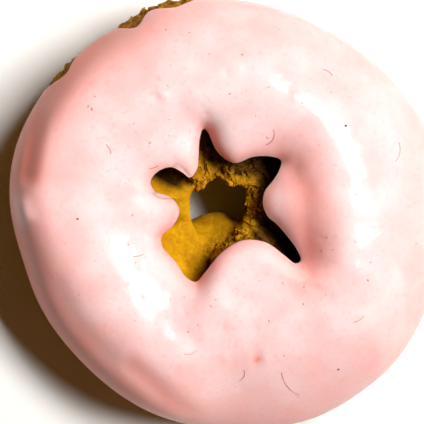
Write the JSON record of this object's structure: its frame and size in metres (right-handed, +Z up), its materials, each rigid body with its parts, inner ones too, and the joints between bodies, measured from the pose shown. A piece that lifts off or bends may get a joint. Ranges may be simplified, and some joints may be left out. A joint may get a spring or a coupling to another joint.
{
  "type": "ring doughnut",
  "caption": "Fried cake ring doughnut with a creased, star-shaped hole and a coat of pale pink icing over its top.",
  "frame": {"origin": "centre of the box of the doughnut on the surface that it rests on", "axes": "+Z up through the hole to the iced side; +X to the right and +Y up the picture as the doughnut is seen from above, so that the long narrow crease of the hole points to +X and -Y"},
  "size_m": [0.0848, 0.084, 0.0295],
  "materials": {
    "dough": "dry golden-brown fried crust, matt",
    "icing": "set pale pink sugar glaze, glossy"
  },
  "bodies": {
    "root": {"dough_ring": "dough", "icing": "icing"}
  },
  "joints": []
}
